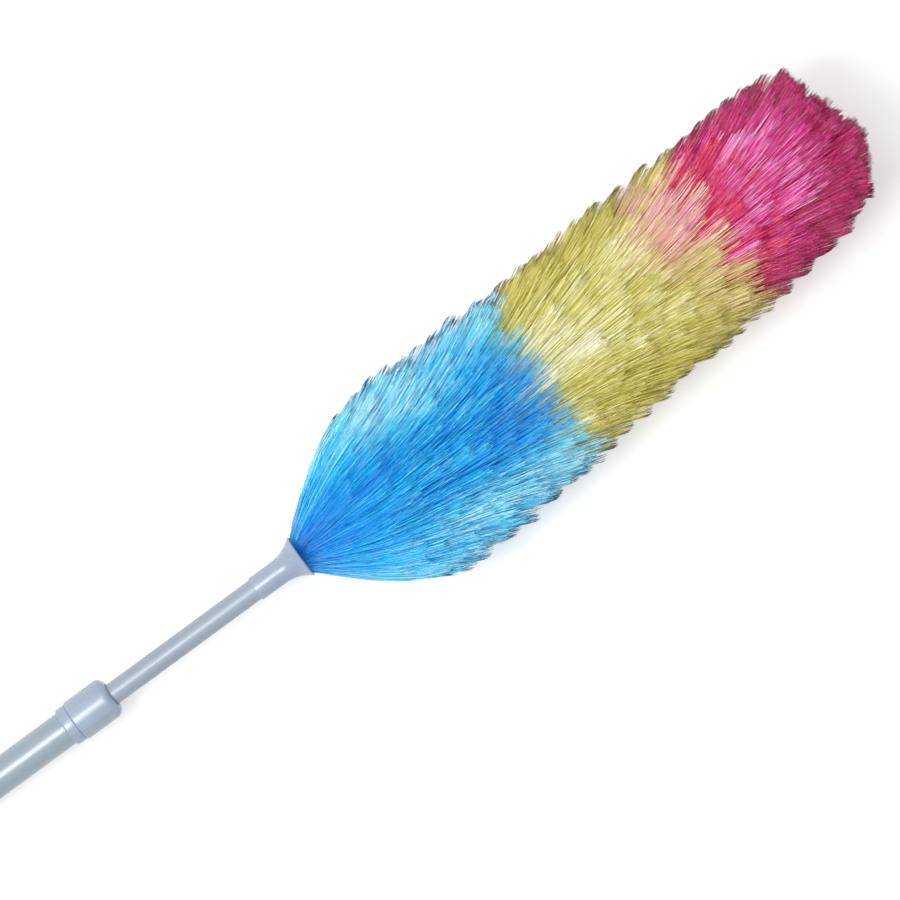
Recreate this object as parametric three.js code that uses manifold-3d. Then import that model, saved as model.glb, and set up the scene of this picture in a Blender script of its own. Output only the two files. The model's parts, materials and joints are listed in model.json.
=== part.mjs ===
// A telescopic static duster: two coated steel tubes joined by a twist-lock collar, and a long
// head of polypropylene fibres held on a twisted wire core. Millimetres, +Z up.
//
// The duster lies on a surface with its head to +X. Everything is built along the pole's own
// axis: x is the distance from the rear end of the grip, and the whole assembly is then tipped
// so that the grip's rear rim and the underside of the head both rest on z = 0.

import * as THREE from 'three';
import { mergeVertices } from 'three/addons/utils/BufferGeometryUtils.js';
import Module from 'manifold-3d';

const wasm = await Module();
wasm.setup();

// ---------------------------------------------------------------- driving dimensions

const GAP = 0.3; // clearance between pieces that touch
const ROUND = 28; // facets round the pole's pieces
const TILT = THREE.MathUtils.degToRad(2.9); // rise of the pole's axis towards the head

const OUTER_TUBE = { radius: 11, wall: 0.5, rear: 2, front: 430 };
const INNER_TUBE = { radius: 6.9, wall: 0.45, rear: 130, front: 582 };
const GRIP = { radius: 15, length: 122, edge: 1 };
const GROOVE = { count: 6, first: 24, pitch: 12, width: 4, depth: 1.2 }; // for the fingers
const GRIP_NECK = { length: 14, lip: 1, wall: 2, lipWall: 1.4 }; // narrows on to the tube
const CAP = { radius: 14.4, head: 6, dome: 3, plugDepth: 18, plugEdge: 1.5 };
const TAB = { halfWidth: 8, thickness: 5, holeRadius: 4, holeBehindGrip: 19, intoCap: 2 };
const COLLAR = { radius: 12.6, flange: 7, lap: 6, rearEdge: 0.8, frontEdge: 0.5, plugRear: 400 };
const NECK = { radius: 10.5, front: 449 }; // the part of the collar that is inside the nut
const THREAD = { ridges: 3, first: 3, pitch: 4.5, width: 1.6, height: 0.6 };
const SEAT = { rear: 441.5, rearRadius: 8.5, mouthRadius: 9.8 }; // the clamp ring's, in the neck
const CLAMP = { rear: 442, rearRadius: 8.2, front: 453, frontRadius: 8.5, slotWidth: 1.2 };
const CLAMP_BELT = { rear: 448.6, front: 450.4, radius: 9.3 }; // its widest part
const NUT = { radius: 13.4, front: 459, rear: 431.8, frontRound: 5, rearRound: 1 };
const NUT_THREAD = { radius: 11.4, front: 451 };
const NUT_CONE = { front: 454.5, mouthRadius: 9.9, radius: 8.8 }; // bears on the clamp ring
const BUSH = { behind: 1, length: 16, land: 4, step: 1, waistDepth: 1.2 };
const STOP = { length: 4, radius: 9.6 };
const PLUG = { flange: 3.2, radius: 9.6, edge: 0.8, spigot: 15, spigotEdge: 1 };
const FERRULE = { rear: 567, sleeve: 16.9, length: 33.8, radius: 7.9, mouthRadius: 14.2, wall: 1.4 };
const FERRULE_EDGE = 0.4;
const FERRULE_FIT = 0.25; // clearance of the ferrule on the inner tube
const MOUTH = 601; // at the ferrule's lip, where the head's own length s = 0 starts

const WIRE = { radius: 1.2, twistRadius: 1.5, twistPitch: 60, rear: -12, front: 348, steps: 66 };
const SOCKET = { clearance: 0.4, behindWire: 0.5 }; // in the core plug, for the wires
const THIMBLE = { clearance: 0.35, wall: 0.7, overlap: 8, end: 0.6, dome: 1 }; // over the wires' ends
const HEAD = { length: 423, bend: 21, bendPower: 2.2 };
const SHOULDER = { mouthRadius: 13, radius: 65, length: 80 };
const HEAD_TAPER = { from: 120, over: 240, drop: 9 };
const HEAD_END = { from: 370, over: 44, drop: 10 };
const ROW = { reach: 85, rootRadius: 4.2, thickness: 1.2, sweep: 1.35, points: 5, facets: 20 };
const FIRST_ROW = { root: -1.2, rootRadius: 9.8 }; // springs from the ferrule's cup
const TUFT = { radius: 26, pastWire: 6, shoulder: 0.9, edge: 0.97, edgeRadius: 0.75 };
const COLOUR_ZONES = [
  { name: 'blue', rows: 5, firstTip: 70, lastTip: 190, colour: 0x2fa4e0 },
  { name: 'yellow', rows: 4, firstTip: 224, lastTip: 326, colour: 0xd8cc6c },
  { name: 'pink', rows: 3, firstTip: 358, lastTip: 414, colour: 0xd8388a },
];

const BORE = OUTER_TUBE.radius - OUTER_TUBE.wall; // inside radius of the outer tube
const TUBE_CLEAR = INNER_TUBE.radius + GAP; // smallest hole that the inner tube passes
const COLLAR_BORE = TUBE_CLEAR + 0.2;
const NUT_BORE = TUBE_CLEAR + 0.3;
const AXIS_HEIGHT = GRIP.radius * Math.cos(TILT) - GRIP.edge * Math.sin(TILT);
const SAME_CORNER = 1e-4; // corners closer than this are one corner

// ---------------------------------------------------------------- materials

function material(colour, roughness, metalness = 0) {
  return new THREE.MeshStandardMaterial({ color: colour, roughness, metalness });
}

const looks = {
  outerTube: () => material(0xccdde6, 0.3, 0.2),
  innerTube: () => material(0xb9c7d2, 0.3, 0.2),
  plastic: () => material(0xbfd0e4, 0.35),
  ferrule: () => material(0xb4c2da, 0.4),
  hidden: () => material(0xd9dde0, 0.5),
  steel: () => material(0xa8abae, 0.35, 1),
  fibre: (colour) => material(colour, 0.45),
};

// ---------------------------------------------------------------- the group and its placing

const assembly = new THREE.Group();
assembly.rotation.y = -TILT;
assembly.position.z = AXIS_HEIGHT;
assembly.updateMatrix();

function add(name, geometry, look) {
  const mesh = new THREE.Mesh(geometry, look);
  mesh.name = name;
  assembly.add(mesh);
  return mesh;
}

// ---------------------------------------------------------------- shape helpers

// Turns an outline of [x, radius] points about the X axis. The outline runs from rear to front
// on the outside and back on the inside; one that starts on the axis ends on it.
function turned(outline, facets = ROUND) {
  const points = outline.map(([x, radius]) => new THREE.Vector2(radius, x));
  if (points[0].x > 0) points.push(points[0].clone());
  return new THREE.LatheGeometry(points, facets).rotateZ(-Math.PI / 2);
}

// Points [x, radius] on an arc about a centre; angles in degrees from the +X direction.
function arc(centreX, centreRadius, radius, fromAngle, toAngle, steps) {
  const points = [];
  for (let i = 0; i <= steps; i += 1) {
    const angle = THREE.MathUtils.degToRad(fromAngle + ((toAngle - fromAngle) * i) / steps);
    points.push([centreX + radius * Math.cos(angle), centreRadius + radius * Math.sin(angle)]);
  }
  return points;
}

function ring(rear, front, innerRadius, outerRadius, facets = ROUND) {
  const outline = [
    [rear, outerRadius],
    [front, outerRadius],
    [front, innerRadius],
    [rear, innerRadius],
  ];
  return turned(outline, facets);
}

// A closed geometry as a manifold solid, with shared corners and no collapsed triangles.
function solid(geometry) {
  const bare = geometry.clone();
  bare.deleteAttribute('normal');
  bare.deleteAttribute('uv');
  const merged = mergeVertices(bare, SAME_CORNER);
  const corners = merged.index.array;
  const kept = [];
  for (let i = 0; i < corners.length; i += 3) {
    const [a, b, c] = corners.slice(i, i + 3);
    if (a !== b && b !== c && c !== a) kept.push(a, b, c);
  }
  const vertProperties = Float32Array.from(merged.attributes.position.array);
  const mesh = new wasm.Mesh({ numProp: 3, vertProperties, triVerts: Uint32Array.from(kept) });
  return new wasm.Manifold(mesh);
}

function geometryOf(manifold) {
  const mesh = manifold.getMesh();
  const geometry = new THREE.BufferGeometry();
  geometry.setAttribute('position', new THREE.BufferAttribute(mesh.vertProperties, 3));
  geometry.setIndex(new THREE.BufferAttribute(mesh.triVerts, 1));
  geometry.computeVertexNormals();
  return geometry;
}

// ---------------------------------------------------------------- the outer pole

function outerTube() {
  return ring(OUTER_TUBE.rear, OUTER_TUBE.front, BORE, OUTER_TUBE.radius);
}

// A sleeve over the tube with a row of shallow finger grooves and a tapered front.
function handGrip() {
  const outline = [
    [0, GRIP.radius - GRIP.edge],
    [GRIP.edge, GRIP.radius],
  ];
  for (let i = 0; i < GROOVE.count; i += 1) {
    const x = GROOVE.first + i * GROOVE.pitch;
    outline.push([x, GRIP.radius]);
    outline.push([x + GROOVE.width / 2, GRIP.radius - GROOVE.depth]);
    outline.push([x + GROOVE.width, GRIP.radius]);
  }
  outline.push([GRIP.length - GRIP_NECK.length, GRIP.radius]);
  outline.push([GRIP.length - GRIP_NECK.lip, OUTER_TUBE.radius + GRIP_NECK.wall]);
  outline.push([GRIP.length, OUTER_TUBE.radius + GRIP_NECK.lipWall]);
  outline.push([GRIP.length, OUTER_TUBE.radius + GAP]);
  outline.push([0, OUTER_TUBE.radius + GAP]);
  return turned(outline);
}

// A domed cap plugged into the tube's rear end, with a flat tab that has a hanging hole.
function endCap() {
  const front = -GAP;
  const plugRadius = BORE - GAP;
  const dome = arc(-CAP.head + CAP.dome, CAP.radius - CAP.dome, CAP.dome, 180, 90, 3);
  const body = turned([
    [-CAP.head, 0],
    ...dome,
    [front, CAP.radius],
    [front, plugRadius],
    [CAP.plugDepth - CAP.plugEdge, plugRadius],
    [CAP.plugDepth, plugRadius - CAP.plugEdge],
    [CAP.plugDepth, 0],
  ]);
  const tabRear = -TAB.holeBehindGrip;
  const tabFront = -CAP.head + TAB.intoCap;
  const side = new THREE.Shape();
  side.moveTo(tabFront, TAB.halfWidth);
  side.lineTo(tabRear, TAB.halfWidth);
  side.absarc(tabRear, 0, TAB.halfWidth, Math.PI / 2, (Math.PI * 3) / 2, false);
  side.lineTo(tabFront, -TAB.halfWidth);
  const hole = new THREE.Path();
  hole.absarc(tabRear, 0, TAB.holeRadius, 0, Math.PI * 2, true);
  side.holes.push(hole);
  const tab = new THREE.ExtrudeGeometry(side, {
    depth: TAB.thickness,
    bevelEnabled: false,
    curveSegments: 12,
  });
  tab.translate(0, 0, -TAB.thickness / 2);
  tab.rotateX(Math.PI / 2);
  return geometryOf(solid(body).add(solid(tab)));
}

// ---------------------------------------------------------------- the twist-lock collar

// A flanged sleeve: it laps over the tube's mouth, plugs into its bore, and carries the neck
// that the nut screws on to. The thread is drawn as plain ridges.
function collarBase() {
  const flangeRear = OUTER_TUBE.front - COLLAR.lap;
  const flangeFront = flangeRear + COLLAR.flange;
  const outline = [
    [flangeRear, COLLAR.radius - COLLAR.rearEdge],
    [flangeRear + COLLAR.rearEdge, COLLAR.radius],
    [flangeFront - COLLAR.frontEdge, COLLAR.radius],
    [flangeFront, COLLAR.radius - COLLAR.frontEdge],
    [flangeFront, NECK.radius],
  ];
  for (let i = 0; i < THREAD.ridges; i += 1) {
    const x = flangeFront + THREAD.first + i * THREAD.pitch;
    outline.push([x, NECK.radius]);
    outline.push([x + THREAD.width / 2, NECK.radius + THREAD.height]);
    outline.push([x + THREAD.width, NECK.radius]);
  }
  outline.push([NECK.front, NECK.radius]);
  outline.push([NECK.front, SEAT.mouthRadius]);
  outline.push([SEAT.rear, SEAT.rearRadius]);
  outline.push([SEAT.rear, COLLAR_BORE]);
  outline.push([COLLAR.plugRear, COLLAR_BORE]);
  outline.push([COLLAR.plugRear, BORE - GAP]);
  outline.push([OUTER_TUBE.front + GAP, BORE - GAP]);
  outline.push([OUTER_TUBE.front + GAP, OUTER_TUBE.radius + GAP]);
  outline.push([flangeRear, OUTER_TUBE.radius + GAP]);
  return turned(outline);
}

// A split ring with a cone on each end, squeezed on to the inner tube as the nut is tightened.
function clampRing() {
  const outline = [
    [CLAMP.rear, CLAMP.rearRadius],
    [CLAMP_BELT.rear, CLAMP_BELT.radius],
    [CLAMP_BELT.front, CLAMP_BELT.radius],
    [CLAMP.front, CLAMP.frontRadius],
    [CLAMP.front, TUBE_CLEAR],
    [CLAMP.rear, TUBE_CLEAR],
  ];
  const length = CLAMP.front - CLAMP.rear;
  const slot = new THREE.BoxGeometry(2 * length, CLAMP_BELT.radius, CLAMP.slotWidth);
  slot.translate(CLAMP.rear + length / 2, CLAMP_BELT.radius, 0);
  return geometryOf(solid(turned(outline)).subtract(solid(slot)));
}

// A smooth barrel with a rounded front; its bore clears the thread, then narrows in a cone
// that bears on the clamp ring.
function lockNut() {
  const outline = [
    ...arc(NUT.rear + NUT.rearRound, NUT.radius - NUT.rearRound, NUT.rearRound, 180, 90, 2),
    ...arc(NUT.front - NUT.frontRound, NUT.radius - NUT.frontRound, NUT.frontRound, 90, 0, 5),
    [NUT.front, NUT_BORE],
    [NUT_CONE.front, NUT_BORE],
    [NUT_CONE.front, NUT_CONE.radius],
    [NUT_THREAD.front, NUT_CONE.mouthRadius],
    [NUT_THREAD.front, NUT_THREAD.radius],
    [NUT.rear, NUT_THREAD.radius],
  ];
  return turned(outline);
}

// ---------------------------------------------------------------- the inner pole

function innerTube() {
  return ring(INNER_TUBE.rear, INNER_TUBE.front, INNER_TUBE.radius - INNER_TUBE.wall, INNER_TUBE.radius);
}

// A bush that slides in the outer tube and keeps the inner tube centred, with two bearing lands.
function guideBush() {
  const rear = INNER_TUBE.rear + BUSH.behind;
  const front = rear + BUSH.length;
  const land = BORE - GAP;
  const waist = land - BUSH.waistDepth;
  const outline = [
    [rear, land],
    [rear + BUSH.land, land],
    [rear + BUSH.land + BUSH.step, waist],
    [front - BUSH.land - BUSH.step, waist],
    [front - BUSH.land, land],
    [front, land],
    [front, TUBE_CLEAR],
    [rear, TUBE_CLEAR],
  ];
  return turned(outline);
}

// The ring that holds the bush on the tube and meets the collar when the pole is drawn out.
function stopRing() {
  const rear = INNER_TUBE.rear + BUSH.behind + BUSH.length + GAP;
  return ring(rear, rear + STOP.length, TUBE_CLEAR, STOP.radius);
}

// A flanged plug in the inner tube's rear end.
function bottomPlug() {
  const spigotRadius = INNER_TUBE.radius - INNER_TUBE.wall - GAP;
  const front = INNER_TUBE.rear - GAP;
  const rear = front - PLUG.flange;
  const end = INNER_TUBE.rear + PLUG.spigot;
  const outline = [
    [rear, 0],
    [rear, PLUG.radius - PLUG.edge],
    [rear + PLUG.edge, PLUG.radius],
    [front, PLUG.radius],
    [front, spigotRadius],
    [end - PLUG.spigotEdge, spigotRadius],
    [end, spigotRadius - PLUG.spigotEdge],
    [end, 0],
  ];
  return turned(outline);
}

// ---------------------------------------------------------------- ferrule and core

// The flare is an arc that leaves the sleeve level and ends at the mouth's radius.
const flareRun = FERRULE.length - FERRULE.sleeve;
const flareRise = FERRULE.mouthRadius - FERRULE.radius;
const flareTurn = THREE.MathUtils.radToDeg(2 * Math.atan2(flareRise, flareRun));
const flareRadius = flareRun / Math.sin(THREE.MathUtils.degToRad(flareTurn));
const flareX = FERRULE.rear + FERRULE.sleeve;

// Points [x, radius] on a surface that lies a depth under the flare's outside.
function underFlare(depth, fromTurn, toTurn, steps) {
  const centre = FERRULE.radius + flareRadius;
  return arc(flareX, centre, flareRadius + depth, 270 + fromTurn, 270 + toTurn, steps);
}

// A sleeve over the inner tube's front end that flares into the cup the fibres spring from.
function ferrule() {
  const shoulder = INNER_TUBE.front + GAP;
  const outline = [
    [FERRULE.rear, FERRULE.radius - FERRULE_EDGE],
    [FERRULE.rear + FERRULE_EDGE, FERRULE.radius],
    ...underFlare(0, 0, flareTurn, 6),
    ...underFlare(FERRULE.wall, flareTurn, 0, 5),
    [shoulder, FERRULE.radius - FERRULE.wall],
    [shoulder, INNER_TUBE.radius + FERRULE_FIT],
    [FERRULE.rear, INNER_TUBE.radius + FERRULE_FIT],
  ];
  return turned(outline);
}

// The plug that fills the ferrule's cup, with a socket for the wire core.
function corePlug() {
  const fromTurn = 3;
  const toTurn = flareTurn - 8;
  const outside = underFlare(FERRULE.wall + GAP, fromTurn, toTurn, 4);
  const rear = outside[0][0];
  const front = outside[outside.length - 1][0];
  const socketRadius = WIRE.twistRadius + WIRE.radius + SOCKET.clearance;
  const socketRear = MOUTH + WIRE.rear - SOCKET.behindWire;
  const outline = [
    [rear, 0],
    ...outside,
    [front, socketRadius],
    [socketRear, socketRadius],
    [socketRear, 0],
  ];
  return turned(outline);
}

// How far the head's middle line has moved to +Y at a distance s past the ferrule's mouth.
function bendOffset(s) {
  return s <= 0 ? 0 : HEAD.bend * (s / HEAD.length) ** HEAD.bendPower;
}

// The angle of the middle line to the pole's axis, by a small step either side.
function bendAngle(s) {
  return Math.atan2(bendOffset(s + 1) - bendOffset(s - 1), 2);
}

// One of the two wires, wound about the head's middle line.
class CoreWire extends THREE.Curve {
  constructor(phase) {
    super();
    this.phase = phase;
  }

  getPoint(t, target = new THREE.Vector3()) {
    const s = WIRE.rear + (WIRE.front - WIRE.rear) * t;
    const turn = this.phase + (2 * Math.PI * s) / WIRE.twistPitch;
    const y = bendOffset(s) + WIRE.twistRadius * Math.cos(turn);
    return target.set(MOUTH + s, y, WIRE.twistRadius * Math.sin(turn));
  }
}

function coreWire(phase) {
  const section = new THREE.Shape();
  section.absarc(0, 0, WIRE.radius, 0, Math.PI * 2, false);
  return new THREE.ExtrudeGeometry(section, {
    steps: WIRE.steps,
    curveSegments: 3,
    bevelEnabled: false,
    extrudePath: new CoreWire(phase),
  });
}

// A small thimble over the cut ends of the two wires.
function tipCap() {
  const bore = WIRE.twistRadius + WIRE.radius + THIMBLE.clearance;
  const outer = bore + THIMBLE.wall;
  return turned([
    [THIMBLE.end, 0],
    [THIMBLE.end, bore],
    [-THIMBLE.overlap, bore],
    [-THIMBLE.overlap, outer],
    ...arc(THIMBLE.dome, 0, outer, 90, 0, 4),
  ]);
}

// ---------------------------------------------------------------- the fibre head

// Radius of the brushed-out head at a distance s past the ferrule's mouth.
function headRadius(s) {
  const rise = Math.sin((Math.PI / 2) * Math.min(s / SHOULDER.length, 1));
  const full = SHOULDER.mouthRadius + (SHOULDER.radius - SHOULDER.mouthRadius) * rise;
  const taper = HEAD_TAPER.drop * Math.max(0, (s - HEAD_TAPER.from) / HEAD_TAPER.over);
  const end = HEAD_END.drop * Math.max(0, (s - HEAD_END.from) / HEAD_END.over) ** 2;
  return full - taper - end;
}

// How far the fibres have opened from their root to their tip, from 0 to 1, at a share u of
// their reach: they leave the core steeply and sweep forward.
function opening(u) {
  return 1 - (1 - u) ** ROW.sweep;
}

// One ring of fibres as a thin flared skirt, its root at the origin and its tips to +X.
function fibreSkirt(reach, rootRadius, tipRadius) {
  const outside = [];
  const inside = [];
  for (let i = 0; i < ROW.points; i += 1) {
    const u = i / (ROW.points - 1);
    const radius = rootRadius + (tipRadius - rootRadius) * opening(u);
    outside.push([reach * u, radius + ROW.thickness / 2]);
    inside.unshift([reach * u, radius - ROW.thickness / 2]);
  }
  return turned([...outside, ...inside], ROW.facets);
}

// The bunch of fibres that springs from the end of the core and fills the head's blunt tip.
function tipTuft(reach, rootRadius, tipRadius) {
  const shoulder = TUFT.shoulder * reach;
  const outline = [[0, 0]];
  for (let i = 0; i < ROW.points; i += 1) {
    const u = i / (ROW.points - 1);
    outline.push([shoulder * u, rootRadius + (tipRadius - rootRadius) * opening(u)]);
  }
  outline.push([TUFT.edge * reach, TUFT.edgeRadius * tipRadius]);
  outline.push([reach, 0]);
  return turned(outline, ROW.facets);
}

// Cuts away what would lie below the surface that the duster rests on.
function trimmedAtFloor(mesh) {
  const size = 4 * MOUTH;
  const slab = new THREE.BoxGeometry(size, size, size).translate(0, 0, -size / 2);
  mesh.updateMatrix();
  const placing = new THREE.Matrix4().multiplyMatrices(assembly.matrix, mesh.matrix);
  slab.applyMatrix4(placing.invert());
  return geometryOf(solid(mesh.geometry).subtract(solid(slab)));
}

// Adds fibres whose root and tips lie at these distances past the ferrule's mouth, turned to
// follow the head's middle line.
function addFibres(name, shape, root, tip, rootRadius, tipRadius, colour) {
  const reach = tip - root;
  const mesh = add(name, shape(reach, rootRadius, tipRadius), looks.fibre(colour));
  mesh.position.set(MOUTH + root, bendOffset(root), 0);
  mesh.rotation.z = bendAngle(root + reach / 3);
  mesh.geometry = trimmedAtFloor(mesh);
}

// ---------------------------------------------------------------- the assembly

add('outer_tube', outerTube(), looks.outerTube());
add('hand_grip', handGrip(), looks.plastic());
add('end_cap', endCap(), looks.plastic());
add('collar_base', collarBase(), looks.plastic());
add('clamp_ring', clampRing(), looks.hidden());
add('lock_nut', lockNut(), looks.plastic());
add('inner_tube', innerTube(), looks.innerTube());
add('guide_bush', guideBush(), looks.hidden());
add('stop_ring', stopRing(), looks.hidden());
add('bottom_plug', bottomPlug(), looks.hidden());
add('ferrule', ferrule(), looks.ferrule());
add('core_plug', corePlug(), looks.hidden());
add('core_wire_a', coreWire(0), looks.steel());
add('core_wire_b', coreWire(Math.PI), looks.steel());

const cap = add('tip_cap', tipCap(), looks.hidden());
cap.position.set(MOUTH + WIRE.front, bendOffset(WIRE.front), 0);
cap.rotation.z = bendAngle(WIRE.front);

for (const zone of COLOUR_ZONES) {
  for (let i = 0; i < zone.rows; i += 1) {
    const tip = zone.firstTip + ((zone.lastTip - zone.firstTip) * i) / (zone.rows - 1);
    const inFerrule = zone.firstTip < ROW.reach && i === 0;
    const root = inFerrule ? FIRST_ROW.root : tip - ROW.reach;
    const rootRadius = inFerrule ? FIRST_ROW.rootRadius : ROW.rootRadius;
    const name = `${zone.name}_fibre_row_${i + 1}`;
    addFibres(name, fibreSkirt, root, tip, rootRadius, headRadius(tip), zone.colour);
  }
}

const lastZone = COLOUR_ZONES[COLOUR_ZONES.length - 1];
const tuftRoot = WIRE.front + TUFT.pastWire;
addFibres('pink_tip_tuft', tipTuft, tuftRoot, HEAD.length, ROW.rootRadius, TUFT.radius, lastZone.colour);

// The frame's origin is under the middle of the duster, on the surface it lies on.
const model = new THREE.Group();
model.add(assembly);
model.updateMatrixWorld(true);
const middle = new THREE.Box3().setFromObject(model, true).getCenter(new THREE.Vector3());
assembly.position.x -= middle.x;
assembly.position.y -= middle.y;

export default model;
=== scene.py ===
"""The looks of a telescopic static duster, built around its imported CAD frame. Metres, +Z up.

Pieces are drawn in pole coordinates: x runs along the pole's axis from the front of the lock
nut, y is the row's +Y and z is up, square to the axis. place() turns them into the row frame.
"""

import json
import math

import bpy
import numpy as np
from mathutils import Matrix, Vector


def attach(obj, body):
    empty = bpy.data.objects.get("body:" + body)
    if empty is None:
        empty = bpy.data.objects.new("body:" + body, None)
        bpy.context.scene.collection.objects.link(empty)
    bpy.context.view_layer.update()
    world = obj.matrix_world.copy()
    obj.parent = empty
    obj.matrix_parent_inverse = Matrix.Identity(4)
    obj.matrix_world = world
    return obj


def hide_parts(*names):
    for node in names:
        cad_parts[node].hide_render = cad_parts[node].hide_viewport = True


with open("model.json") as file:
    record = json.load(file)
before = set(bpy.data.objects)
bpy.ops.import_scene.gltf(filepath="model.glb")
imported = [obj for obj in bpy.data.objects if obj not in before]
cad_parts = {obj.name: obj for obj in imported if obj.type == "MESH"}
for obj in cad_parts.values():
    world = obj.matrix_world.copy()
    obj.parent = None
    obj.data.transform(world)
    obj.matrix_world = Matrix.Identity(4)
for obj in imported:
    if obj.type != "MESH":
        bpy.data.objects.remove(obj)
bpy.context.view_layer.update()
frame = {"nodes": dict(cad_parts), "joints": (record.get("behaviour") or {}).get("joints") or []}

# ---------------------------------------------------------------- the frame's own measures

MM = 0.001
SPIN = next(j for j in frame["joints"] if j["name"] == "pole_spin")
ALONG = np.array(SPIN["axis"], float)
ORIGIN = np.array(SPIN["pos_m"], float)
SIDE = np.array([0.0, 1.0, 0.0])
UP = np.cross(ALONG, SIDE)
POLE_AXES = np.array([ALONG, SIDE, UP])


def place(points):
    """Pole coordinates to the row frame."""
    return np.asarray(points, float) @ POLE_AXES + ORIGIN


def pole_points(node):
    """A CAD node's vertices in pole coordinates."""
    points = np.array([v.co for v in frame["nodes"][node].data.vertices], float)
    return (points - ORIGIN) @ POLE_AXES.T


def span(node):
    """Where a CAD node starts and ends along the pole, and its radius about the axis."""
    points = pole_points(node)
    return points[:, 0].min(), points[:, 0].max(), np.hypot(points[:, 1], points[:, 2]).max()


# ---------------------------------------------------------------- node helpers

EVENLY = (1, 1, 1)


def new_material(name):
    """A Principled material; returns it with its node tree and shader."""
    material = bpy.data.materials.new(name)
    material.use_nodes = True
    tree = material.node_tree
    return material, tree, tree.nodes["Principled BSDF"]


def set_plain(shader, **values):
    """Sets sockets that are the same all over the surface."""
    for name, value in values.items():
        shader.inputs[name.replace("_", " ")].default_value = value


def stretched(tree, vector, scale):
    """A vector scaled along each axis."""
    mapping = tree.nodes.new("ShaderNodeMapping")
    mapping.inputs["Scale"].default_value = scale
    tree.links.new(vector, mapping.inputs["Vector"])
    return mapping.outputs["Vector"]


def object_coords(tree, scale=EVENLY):
    """The piece's own coordinates, stretched by scale along each axis."""
    coords = tree.nodes.new("ShaderNodeTexCoord")
    return stretched(tree, coords.outputs["Object"], scale)


def noise(tree, vector, scale=1.0, detail=3.0, roughness=0.5):
    """A noise texture's value, about 0.5 on average."""
    node = tree.nodes.new("ShaderNodeTexNoise")
    node.inputs["Scale"].default_value = scale
    node.inputs["Detail"].default_value = detail
    node.inputs["Roughness"].default_value = roughness
    tree.links.new(vector, node.inputs["Vector"])
    return node.outputs["Fac"]


def ramp(tree, value, stops):
    """A colour ramp over a value; stops are (position, (r, g, b))."""
    node = tree.nodes.new("ShaderNodeValToRGB")
    elements = node.color_ramp.elements
    while len(elements) < len(stops):
        elements.new(0.5)
    for element, (position, colour) in zip(elements, stops):
        element.position = position
        element.color = (*colour, 1.0)
    tree.links.new(value, node.inputs["Fac"])
    return node.outputs["Color"]


def spread(tree, value, low, high, start=0.3, end=0.7):
    """A value's range from start to end, by default a noise's usual one, stretched to low..high."""
    node = tree.nodes.new("ShaderNodeMapRange")
    node.inputs["From Min"].default_value = start
    node.inputs["From Max"].default_value = end
    node.inputs["To Min"].default_value = low
    node.inputs["To Max"].default_value = high
    tree.links.new(value, node.inputs["Value"])
    return node.outputs["Result"]


def rising(tree, value, start, end):
    """0 up to start and 1 from end on, rising evenly between them."""
    return spread(tree, value, 0.0, 1.0, start, end)


def blend(tree, factor, first, second, mode="MIX"):
    """Two colours mixed by a factor, which is a socket or a number."""
    node = tree.nodes.new("ShaderNodeMix")
    node.data_type = "RGBA"
    node.blend_type = mode
    for index, value in ((0, factor), (6, first), (7, second)):
        if isinstance(value, bpy.types.NodeSocket):
            tree.links.new(value, node.inputs[index])
        else:
            node.inputs[index].default_value = value
    return node.outputs[2]


def product(tree, first, second):
    """Two values multiplied."""
    node = tree.nodes.new("ShaderNodeMath")
    node.operation = "MULTIPLY"
    tree.links.new(first, node.inputs[0])
    tree.links.new(second, node.inputs[1])
    return node.outputs[0]


def bump(tree, height, strength, distance):
    """A bump normal from a height value."""
    node = tree.nodes.new("ShaderNodeBump")
    node.inputs["Strength"].default_value = strength
    node.inputs["Distance"].default_value = distance
    tree.links.new(height, node.inputs["Height"])
    return node.outputs["Normal"]


# ---------------------------------------------------------------- pole materials

def coated_steel(name, colour, scuff_colour, dullness):
    """Glossy coating over a steel tube, with fine scuffs along it."""
    material, tree, shader = new_material(name)
    cloud = noise(tree, object_coords(tree, (9, 30, 30)), detail=4.0)
    scuffs = noise(tree, object_coords(tree, (7, 900, 900)), detail=5.0, roughness=0.65)
    grain = noise(tree, object_coords(tree), scale=900.0, detail=2.0)
    base = ramp(tree, cloud, [(0.3, scuff_colour), (0.6, colour)])
    marks = ramp(tree, scuffs, [(0.60, (1, 1, 1)), (0.72, (0.86, 0.87, 0.88))])
    roughness = spread(tree, scuffs, low=dullness, high=dullness + 0.1)
    tree.links.new(blend(tree, 1.0, base, marks, "MULTIPLY"), shader.inputs["Base Color"])
    tree.links.new(roughness, shader.inputs["Roughness"])
    tree.links.new(bump(tree, grain, strength=0.12, distance=0.3 * MM), shader.inputs["Normal"])
    set_plain(shader, Metallic=0.0, Specular_IOR_Level=0.5)
    set_plain(shader, Coat_Weight=0.25, Coat_Roughness=0.5 * dullness)
    return material


def moulded_plastic(name, colour, shade):
    """Satin injection-moulded plastic, slightly cloudy, worn paler on its edges."""
    material, tree, shader = new_material(name)
    cloud = noise(tree, object_coords(tree), scale=55.0, detail=4.0)
    skin = noise(tree, object_coords(tree), scale=1400.0, detail=3.0)
    flow = noise(tree, object_coords(tree, (25, 260, 260)), detail=4.0)
    base = ramp(tree, cloud, [(0.3, shade), (0.65, colour)])
    geometry = tree.nodes.new("ShaderNodeNewGeometry")
    edge = spread(tree, geometry.outputs["Pointiness"], low=0.0, high=0.5, start=0.52, end=0.60)
    worn = tuple(min(1.0, c * 1.25) for c in colour) + (1.0,)
    tree.links.new(blend(tree, edge, base, worn), shader.inputs["Base Color"])
    tree.links.new(spread(tree, flow, low=0.20, high=0.32), shader.inputs["Roughness"])
    tree.links.new(bump(tree, skin, strength=0.10, distance=0.2 * MM), shader.inputs["Normal"])
    set_plain(shader, Specular_IOR_Level=0.5, Subsurface_Weight=0.12, Subsurface_Scale=4 * MM)
    return material


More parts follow.
